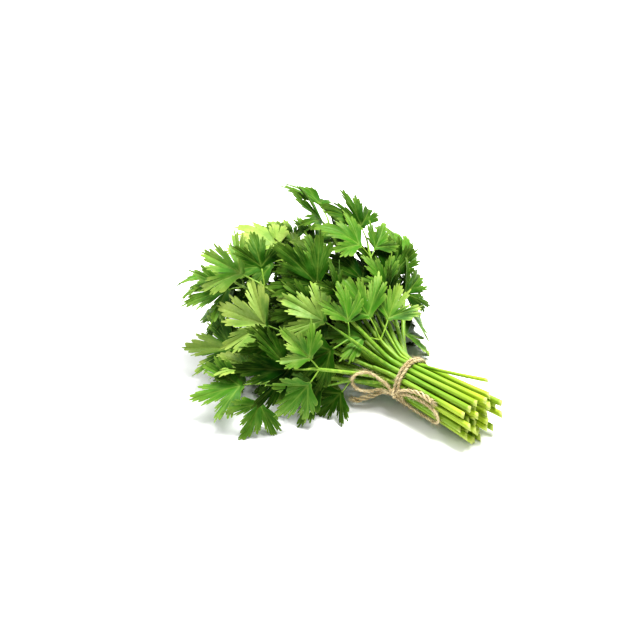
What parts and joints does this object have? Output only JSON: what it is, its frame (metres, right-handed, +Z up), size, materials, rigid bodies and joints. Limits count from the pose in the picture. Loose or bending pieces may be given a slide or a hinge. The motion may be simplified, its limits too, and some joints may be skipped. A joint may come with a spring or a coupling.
{
  "type": "parsley bunch",
  "caption": "Bunch of flat-leaf parsley sprigs lying on its side, a leafy fan gathered at bare stems tied with a jute twine bow.",
  "frame": {"origin": "middle of the bunch's footprint box on the surface it lies on, without the bow's free stretches", "axes": "+X along the stems towards their cut ends, +Z up; the bow is on the -Y side"},
  "size_m": [0.2838, 0.2429, 0.1317],
  "materials": {
    "parsley": "fresh leaf and stem, satin",
    "jute": "two-ply twine, matt and fibrous"
  },
  "bodies": {
    "root": {"sprig_01": "parsley", "sprig_02": "parsley", "sprig_03": "parsley", "sprig_04": "parsley", "sprig_05": "parsley", "sprig_06": "parsley", "sprig_07": "parsley", "sprig_08": "parsley", "sprig_09": "parsley", "sprig_10": "parsley", "sprig_11": "parsley", "sprig_12": "parsley", "sprig_13": "parsley", "sprig_14": "parsley", "sprig_15": "parsley", "sprig_16": "parsley", "sprig_17": "parsley", "sprig_18": "parsley", "sprig_19": "parsley", "sprig_20": "parsley", "sprig_21": "parsley", "sprig_22": "parsley", "sprig_23": "parsley", "sprig_24": "parsley", "sprig_25": "parsley", "sprig_26": "parsley", "sprig_27": "parsley", "sprig_28": "parsley", "sprig_29": "parsley", "sprig_30": "parsley", "sprig_31": "parsley", "sprig_32": "parsley", "sprig_33": "parsley", "sprig_34": "parsley", "sprig_35": "parsley", "sprig_36": "parsley", "sprig_37": "parsley", "twine_tie": "jute", "bow_loop_left": "jute", "bow_loop_right": "jute", "bow_tail_left": "jute", "bow_tail_right": "jute"}
  },
  "joints": []
}
